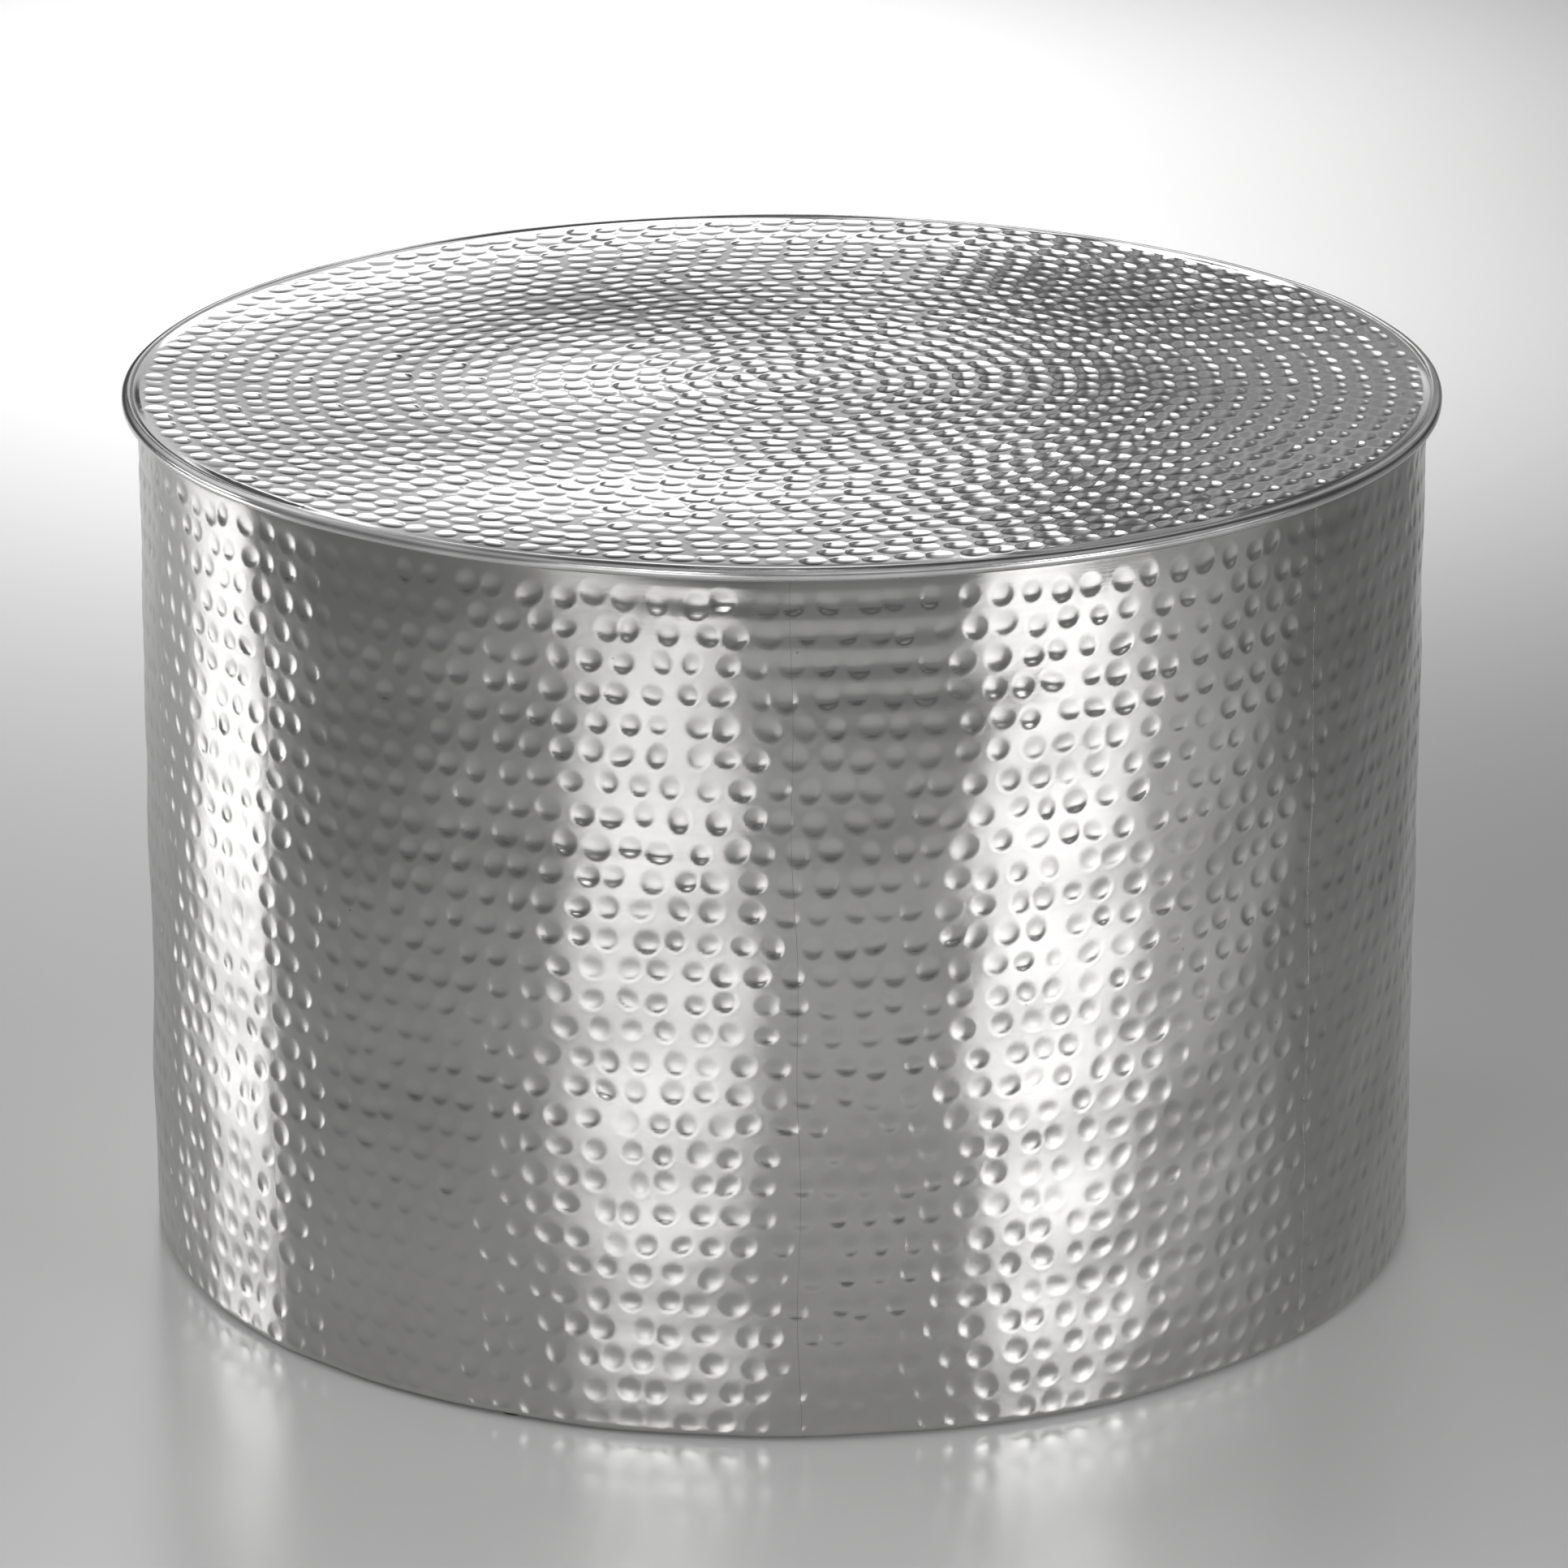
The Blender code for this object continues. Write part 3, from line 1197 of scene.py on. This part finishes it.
@dataclass
class LidTop:
    """The dimpled top sheet and its edge, turned up and curled round the rim wire.

    Attributes:
        rim_radius: outside of the rim.
        crest: top of the rim.
        plate: upper face of the flat sheet.
        sheet: thickness.
        bead: radius of the curl.
        fillet: radius where the sheet turns up into the curl.
        curl_end: where the curl stops, as an angle round the bead.
        fillet_points: points round the turn-up.
        curl_points: points round the curl.
        cells: steps across the disc.
        ring_count: rings of dimples.
        ring_pitch: distance between rings.
        dimple_pitch: distance between the dimples of a ring.
        fewest: dimples that the smallest ring has at least.
        margin: width over which dimples and swells fade out at the rim.
        back_steps: steps of the upper face that make one of the lower face.
        swell: slow unevenness of the sheet.
        bowl: radius and height of the crests and hollows of its shallow rings, out to the rim.
        bowl_side: azimuth at which the rings are deepest, in radians.
        bowl_shares: depth of the rings on average, and how much it varies round the axis.
        lowest: the deepest that a swell goes.
        skin: least thickness of the sheet, and the rounding where a swell is stopped.
        rim_wave: slow unevenness of the rim.
        rim_drop: how far the rim sinks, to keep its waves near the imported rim's height.
        dimples: the rings of dimples.
    """

    rim_radius: float
    crest: float
    plate: float
    sheet: float = 0.0012
    bead: float = 0.00325
    fillet: float = 0.0015
    curl_end: float = math.radians(-145)
    fillet_points: int = 6
    curl_points: int = 28
    cells: int = 496
    ring_count: int = 26
    ring_pitch: float = 0.01148
    dimple_pitch: float = 0.0140
    fewest: int = 3
    margin: float = 0.004
    back_steps: int = 4
    swell: Ripple = Ripple(seed=2750, amplitude=0.0006, lengths=(0.12, 0.24))
    bowl: tuple[tuple[float, float], ...] = (
        (0.0, 0.0),
        (0.115, 0.0012),
        (0.238, -0.0009),
        (0.300, 0.0012),
    )
    bowl_side: float = math.radians(118)
    bowl_shares: tuple[float, float] = (0.55, 0.45)
    lowest: float = -0.00095
    skin: float = 0.0002
    rim_wave: Ripple = Ripple(seed=31, amplitude=0.00025, lengths=(0.09, 0.3))
    rim_drop: float = 0.0002
    dimples: RingDimples = field(init=False)

    @classmethod
    def from_frame(cls) -> "LidTop":
        """Reads the top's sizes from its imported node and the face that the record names.

        Returns:
            The top.
        """
        points = node_points("top_plate")
        mounts = {mount["name"]: mount for mount in frame["record"]["mounts"]}
        return cls(
            rim_radius=float(radii(points).max()),
            crest=float(points[:, 2].max()),
            plate=float(mounts["table_top"]["pos_m"][2]),
        )

    def __post_init__(self) -> None:
        """Lays out the rings of dimples."""
        radius = self.ring_pitch * (np.arange(self.ring_count) + 0.5)
        counts = np.maximum(self.fewest, np.rint(FULL_TURN * radius / self.dimple_pitch)).astype(int)
        self.dimples = RingDimples(
            first=float(radius[0]),
            pitch=self.ring_pitch,
            counts=counts,
            half_along=0.0066,
            half_across=0.0051,
            depth=0.00031,
            wander=(0.0010, 0.0005),
            uneven=(0.09, 0.26),
            lean=(-0.2, 0.2),
            softness=0.000012,
            lip=0.00002,
            turned=0.15,
            seed=8,
        )

    @property
    def bead_centre(self) -> tuple[float, float]:
        """Radius and height of the curl's middle."""
        return self.rim_radius - self.bead, self.crest - self.bead

    @property
    def flat_level(self) -> float:
        """Height of the sheet where it meets the rim."""
        return self.plate + self.bowl[-1][1]

    @property
    def fillet_radius(self) -> float:
        """Where the flat sheet starts to turn up, by Pythagoras from the two arcs' middles.

        Returns:
            The distance from the axis.
        """
        rise = self.flat_level + self.fillet - self.bead_centre[1]
        reach = self.bead + self.fillet
        return self.bead_centre[0] - math.sqrt(reach**2 - rise**2)

    def plate_height(self, points: Array) -> Array:
        """Upper face of the sheet: the plain level, slow swells and dimples, flat at the rim.

        The rings of the bowl are joined by smooth rises, the last of which ends straight, as a sheet
        does before a bend. Their depth varies with the cosine of the azimuth.

        Args:
            points: places in the plane as (..., 3).

        Returns:
            Heights.
        """
        reach = np.hypot(points[..., 0], points[..., 1])
        turn = np.arctan2(points[..., 1], points[..., 0]) / FULL_TURN
        inside = 1.0 - smooth_step(self.fillet_radius - self.margin, self.fillet_radius, reach)
        swell = np.full_like(reach, self.bowl[0][1])
        rises = [smooth_step] * (len(self.bowl) - 2) + [late_rise]
        for rise, (start, low), (end, high) in zip(rises, self.bowl[:-1], self.bowl[1:]):
            swell += (high - low) * rise(start, end, reach)
        edge = self.bowl[-1][1]
        lopsided = np.cos(turn * FULL_TURN - self.bowl_side) * smooth_step(0.0, self.bowl[1][0], reach)
        swell = edge + (swell - edge) * (self.bowl_shares[0] + self.bowl_shares[1] * lopsided)
        swell = soft_max(swell + inside * self.swell.height(points), self.lowest, self.skin)
        return self.plate + swell - inside * self.dimples.depth_at(turn, reach)

    def dimpled_sheet(self) -> list[bpy.types.Object]:
        """The sheet inside the rim, in four quarters that share their borders and their normals.

        A square grid is laid on the disc: each square ring of the grid becomes a circle, and the
        place along its side becomes the angle. The height is then a function of the place.

        Returns:
            The dressed quarters.
        """
        line = np.linspace(-1.0, 1.0, self.cells + 1)
        across, along = np.meshgrid(line, line)
        wide = np.abs(across) >= np.abs(along)
        reach = np.where(wide, across, along)
        other = np.where(wide, along, across)
        share = np.divide(other, reach, out=np.zeros_like(reach), where=reach != 0.0)
        angle = np.where(wide, share * math.pi / 4, math.pi / 2 - share * math.pi / 4)
        points = around(angle, reach * self.fillet_radius, np.zeros_like(angle))
        points[..., 2] = self.plate_height(points)
        below = points.copy()
        below[..., 2] = np.minimum(self.plate - self.sheet, points[..., 2] - self.skin)
        normals = grid_normals(points)
        pieces = []
        for number, (rows, columns) in enumerate(self.quarters(), start=1):
            arrays = closed_sheet(
                points[rows, columns],
                below[rows, columns],
                points[rows, columns, :2],
                normals[rows, columns],
                self.back_steps,
            )
            piece = add_mesh(f"dimpled_top_{number}", arrays)
            pieces.append(dress_piece(piece, POLISHED, Body.LID, ["top_plate"]))
        return pieces

    def quarters(self) -> list[tuple[slice, slice]]:
        """Parts of the grid that make each quarter of the sheet.

        Returns:
            The rows and the columns of each quarter.
        """
        half = self.cells // 2
        halves = (slice(0, half + 1), slice(half, self.cells + 1))
        return [(rows, columns) for rows in halves for columns in halves]

    def rim_section(self) -> Array:
        """The rim's closed section: outer face from the flat sheet to the curl's end, and back.

        Each face is an arc of the turn-up and then one round the wire, about the same two middles.

        Returns:
            Points as (count, 2), radius and height.
        """
        centre = np.array(self.bead_centre)
        fillet_centre = np.array([self.fillet_radius, self.flat_level + self.fillet])
        meet = math.atan2(fillet_centre[1] - centre[1], fillet_centre[0] - centre[0])
        turn_up = np.linspace(-math.pi / 2, meet - math.pi, self.fillet_points)
        curl = np.linspace(meet, self.curl_end, self.curl_points)[1:]
        faces = []
        inner_face = (self.fillet + self.sheet, self.bead - self.sheet)
        for fillet, bead in ((self.fillet, self.bead), inner_face):
            lower = fillet_centre + fillet * np.stack([np.cos(turn_up), np.sin(turn_up)], axis=-1)
            round_wire = centre + bead * np.stack([np.cos(curl), np.sin(curl)], axis=-1)
            faces.append(np.concatenate([lower, round_wire]))
        return np.concatenate([faces[0], faces[1][::-1]])

    def wired_rim(self) -> bpy.types.Object:
        """The rim: its section carried round the axis on a slightly wavy path.

        It has a step for every second one of the sheet's border, from the corner of the sheet's grid.

        Returns:
            The dressed piece.
        """
        section = self.rim_section()
        steps = 2 * self.cells
        azimuth = np.arange(steps) * FULL_TURN / steps + math.pi / 4
        azimuth, radius = np.meshgrid(azimuth, section[:, 0])
        height = np.broadcast_to(section[:, 1:], azimuth.shape)
        points = around(azimuth, radius, height)
        loose = smooth_step(self.fillet_radius, self.bead_centre[0], radius)
        wave = self.rim_wave.height(points) * loose
        points = around(azimuth, radius - np.abs(wave), height + wave - self.rim_drop * loose)
        girth = path_length(np.concatenate([section, section[:1]]))[::-1]
        length = np.arange(steps + 1) * FULL_TURN * self.rim_radius / steps
        flat = np.stack(np.meshgrid(length, girth), axis=-1)
        piece = add_mesh("curled_rim", closed_ring(points[::-1], flat))
        return dress_piece(piece, RIM_POLISH, Body.LID, ["top_plate"])

    def build(self) -> list[bpy.types.Object]:
        """The sheet and its rim."""
        return [*self.dimpled_sheet(), self.wired_rim()]


@dataclass
class InnerFrame:
    """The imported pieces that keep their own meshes: wire, collar, braces, rings, straps, floor, glides.

    Attributes:
        finishes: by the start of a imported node's name.
    """

    finishes: dict[str, Finish] = field(
        default_factory=lambda: {
            "rim_wire": WIRE,
            "lid_": BAR,
            "seam_strap": BAR,
            "mouth_ring": BAR,
            "base_ring": BAR,
            "base_plate": MILL,
            "glide": RUBBER,
        }
    )

    def build(self) -> list[bpy.types.Object]:
        """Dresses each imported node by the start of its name.

        Returns:
            The dressed nodes.
        """
        dressed = []
        for start, finish in self.finishes.items():
            names = sorted(name for name in frame["nodes"] if name.startswith(start))
            for name in names:
                node = frame["nodes"][name]
                node.data.materials.clear()
                node.data.materials.append(finish.material())
                LOG.info("%s: %s", name, finish.name)
                dressed.append(node)
        return dressed


# Studio


@dataclass(frozen=True)
class Glow:
    """A soft-edged bright panel far away, seen as a patch or a strip in the metal.

    Attributes:
        heading: to the right of the camera, seen from the table, in degrees; 180 is behind it.
        half_width: in degrees.
        low: elevation of its lower edge, in degrees.
        high: elevation of its upper edge, in degrees.
        radiance: brightness.
        soft_side: half the width of the fade at its sides, in degrees.
        soft_low: half the height of the fade at its lower edge.
        soft_high: half the height of the fade at its upper edge.
    """

    heading: float
    half_width: float
    low: float
    high: float
    radiance: float
    soft_side: float = 4.0
    soft_low: float = 4.0
    soft_high: float = 4.0

    def strength(self, sketch: NodeSketch, direction: Any, height: Any, flat_length: Any) -> Any:
        """The panel's light towards a direction: a fade across its sides times one up its height.

        Args:
            sketch: of the world's tree.
            direction: unit vector that is looked along.
            height: the vector's upward part.
            flat_length: the length of its level part.

        Returns:
            The socket of the light.
        """
        heading = math.radians(self.heading)
        level = (math.sin(heading), -math.cos(heading), 0.0)
        toward = sketch.node("ShaderNodeVectorMath", {0: direction, 1: level}, operation="DOT_PRODUCT")
        facing = sketch.math("DIVIDE", toward.outputs["Value"], flat_length)
        outer = math.cos(math.radians(min(180.0, self.half_width + self.soft_side)))
        inner = math.cos(math.radians(max(0.0, self.half_width - self.soft_side)))
        side = sketch.ease(facing, outer, inner)
        rise = [math.sin(math.radians(self.low + step)) for step in (-self.soft_low, self.soft_low)]
        fall = [math.sin(math.radians(self.high + step)) for step in (self.soft_high, -self.soft_high)]
        upright = sketch.math("MULTIPLY", sketch.ease(height, *rise), sketch.ease(height, *fall))
        return sketch.math("MULTIPLY", sketch.math("MULTIPLY", side, upright), self.radiance)


def area_lamp(name: str, size: tuple[float, float], power: float, spread: float) -> bpy.types.Object:
    """A rectangular lamp at the origin that looks straight down.

    Args:
        name: of the lamp.
        size: along X and along Y, in metres.
        power: in watts.
        spread: angle of its beam, in radians.

    Returns:
        The linked lamp.
    """
    data = bpy.data.lights.new(name, "AREA")
    data.shape = "RECTANGLE"
    data.size, data.size_y = size
    data.energy = power
    data.spread = spread
    light = bpy.data.objects.new(name, data)
    bpy.context.scene.collection.objects.link(light)
    return light


@dataclass(frozen=True)
class Softbox:
    """A lamp overhead that looks straight down.

    Attributes:
        name: of the lamp.
        place: of its middle.
        size: along X and along Y, in metres.
        power: in watts.
        spread: angle of its beam, in radians.
    """

    name: str
    place: tuple[float, float, float]
    size: tuple[float, float]
    power: float
    spread: float

    def build(self) -> None:
        """The lamp, at its place."""
        area_lamp(self.name, self.size, self.power, self.spread).location = self.place


@dataclass(frozen=True)
class FloorStrip:
    """A gridded softbox near the floor, whose reflection in the floor lights an upright band of wall.

    The flat top hardly sees it: the strip is not much taller than the table, and its grid keeps the
    light within a narrow beam that looks down.

    Attributes:
        name: of the lamp.
        heading: to the right of the camera, seen from the table, in degrees.
        half_width: in metres.
        power: in watts.
        reach: from the axis to its middle, in metres.
        low: height of its lower edge.
        high: height of its upper edge.
        slope: how far its beam looks down, in radians.
        spread: angle of its beam, in radians.
    """

    name: str
    heading: float
    half_width: float
    power: float
    reach: float = 2.00
    low: float = 0.05
    high: float = 0.70
    slope: float = math.radians(21)
    spread: float = math.radians(43)

    def build(self) -> None:
        """The lamp, turned to the table."""
        heading = math.radians(self.heading)
        height = (self.high - self.low) / math.cos(self.slope)
        light = area_lamp(self.name, (2.0 * self.half_width, height), self.power, self.spread)
        middle = (self.low + self.high) / 2.0
        light.location = (self.reach * math.sin(heading), -self.reach * math.cos(heading), middle)
        light.rotation_euler = (math.pi / 2 - self.slope, 0.0, heading)
        light.visible_camera = False


@dataclass
class Studio:
    """Camera, pale floor, softboxes and a world of soft panels.

    Attributes:
        lens: focal length, in millimetres.
        sensor: width of the camera's sensor, in millimetres.
        place: of the camera.
        pitch: how far the camera looks down, in radians.
        floor_half: half a side of the floor.
        floor_lines: grid lines of the floor each way.
        floor_colour: of the floor.
        floor_roughness: of the floor.
        floor_index: index of refraction of the floor, which sets its sheen.
        ambient: light from every side.
        front: panels before the table, which dents in the wall show.
        back: panels behind the table, which the top shows.
        room: broad light overhead and round the front.
        softboxes: lamps overhead.
        floor_strips: lamps near the floor, before the table and beside it.
    """

    lens: float = 182.92
    sensor: float = 36.0
    place: tuple[float, float, float] = (0.0009, -3.5903, 1.4091)
    pitch: float = math.radians(18.461)
    floor_half: float = 14.0
    floor_lines: int = 9
    floor_colour: Colour = (0.80, 0.80, 0.80)
    floor_roughness: float = 0.24
    floor_index: float = 1.7
    ambient: float = 0.06
    front: tuple[Glow, ...] = (
        Glow(heading=14.0, half_width=16.0, low=9.0, high=28.0, radiance=0.4),
    )
    back: tuple[Glow, ...] = (
        Glow(182.8, 4.2, 12.5, 62.0, 0.61, soft_side=0.9, soft_low=7.5, soft_high=10.0),
        Glow(177.0, 1.8, 12.5, 62.0, 0.11, soft_side=0.9, soft_low=7.5, soft_high=10.0),
        Glow(182.1, 4.1, 17.9, 46.0, 0.76, soft_side=0.7, soft_low=0.5, soft_high=6.0),
        Glow(166.2, 10.2, 4.0, 60.0, 0.20, soft_side=0.8, soft_low=4.0, soft_high=10.0),
        Glow(219.0, 26.0, 14.5, 62.0, 0.30, soft_side=6.0, soft_low=5.5, soft_high=10.0),
        Glow(219.0, 22.0, 25.0, 50.0, 0.40, soft_side=4.0, soft_low=9.0, soft_high=8.0),
        Glow(149.0, 18.0, 14.5, 46.0, 0.20, soft_side=5.0, soft_low=5.5, soft_high=6.0),
    )
    room: tuple[Glow, ...] = (
        Glow(0.0, 180.0, 30.0, 100.0, 0.12, soft_side=0.0, soft_low=6.0, soft_high=1.0),
        Glow(185.0, 50.0, 44.0, 100.0, 0.55, soft_side=20.0, soft_low=10.0, soft_high=1.0),
        Glow(-10.0, 106.0, 2.0, 58.0, 0.14, soft_side=8.0, soft_low=5.0, soft_high=14.0),
        Glow(-10.0, 106.0, 32.0, 66.0, 0.26, soft_side=8.0, soft_low=16.0, soft_high=14.0),
    )
    softboxes: tuple[Softbox, ...] = (
        Softbox("back_softbox", (-1.25, 2.20, 2.7), (2.0, 1.8), 17.0, math.radians(64)),
        Softbox("background_softbox", (0.0, 1.95, 2.4), (1.1, 1.7), 7.0, math.radians(34)),
        Softbox("front_softbox", (-0.2, -0.95, 1.9), (1.4, 0.5), 1.1, math.radians(40)),
    )
    floor_strips: tuple[FloorStrip, ...] = (
        FloorStrip("left_strip", -22.4, 0.52, 0.95),
        FloorStrip("right_strip", 47.8, 0.52, 1.36),
        FloorStrip("flank_strip", 76.0, 0.60, 0.35, spread=math.radians(52)),
        FloorStrip("side_strip", -113.5, 0.58, 1.47),
    )

    def camera(self) -> None:
        """The camera at the photograph's viewing angle."""
        data = bpy.data.cameras.new("camera")
        data.lens = self.lens
        data.sensor_width = self.sensor
        camera = bpy.data.objects.new("camera", data)
        camera.location = self.place
        camera.rotation_euler = (math.pi / 2 - self.pitch, 0.0, 0.0)
        bpy.context.scene.collection.objects.link(camera)
        bpy.context.scene.camera = camera

    def floor(self) -> None:
        """A plain pale floor with a slight sheen."""
        line = np.linspace(-self.floor_half, self.floor_half, self.floor_lines)
        across, along = np.meshgrid(line, line)
        points = np.stack([across, along, np.zeros_like(across)], axis=-1)
        quads = grid_quads(np.arange(across.size).reshape(across.shape))
        arrays = MeshArrays(
            points=points.reshape(-1, 3),
            flat=points.reshape(-1, 3)[quads.ravel(), :2],
            quads=quads,
            triangles=np.empty((0, 3), int),
        )
        floor = add_mesh("floor", arrays)
        material = bpy.data.materials.new("pale_floor")
        material.use_nodes = True
        shader = material.node_tree.nodes["Principled BSDF"]
        shader.inputs["Base Color"].default_value = (*self.floor_colour, 1.0)
        shader.inputs["Roughness"].default_value = self.floor_roughness
        shader.inputs["IOR"].default_value = self.floor_index
        floor.data.materials.append(material)

    def world(self) -> None:
        """A dim room with soft bright panels in front, behind and overhead."""
        world = bpy.data.worlds.new("studio_world")
        bpy.context.scene.world = world
        world.use_nodes = True
        sketch = NodeSketch(world.node_tree)
        backdrop = world.node_tree.nodes["Background"]
        direction = sketch.node("ShaderNodeTexCoord").outputs["Generated"]
        parts = sketch.node("ShaderNodeSeparateXYZ", {0: direction}).outputs
        square = sketch.math("MULTIPLY", parts["Z"], parts["Z"])
        flat_length = sketch.math("SQRT", sketch.math("SUBTRACT", 1.0, square))
        total: Any = self.ambient
        for glow in (*self.front, *self.back, *self.room):
            light = glow.strength(sketch, direction, parts["Z"], flat_length)
            total = sketch.math("ADD", total, light)
        sketch.tree.links.new(total, backdrop.inputs["Strength"])
        backdrop.inputs["Color"].default_value = (*WHITE, 1.0)

    def build(self) -> None:
        """Sets the whole studio up."""
        bpy.context.scene.view_settings.view_transform = "Standard"
        self.camera()
        self.floor()
        for lamp in (*self.softboxes, *self.floor_strips):
            lamp.build()
        self.world()


def main() -> None:
    """Builds the studio and the table, piece by piece."""
    logging.basicConfig(level=logging.INFO, format="%(name)s %(message)s")
    Studio().build()
    for assembly in (DrumWall.from_frame(), LidTop.from_frame(), InnerFrame()):
        made = assembly.build()
        LOG.info("%s: %d pieces", type(assembly).__name__, len(made))


if __name__ == "__main__":
    main()
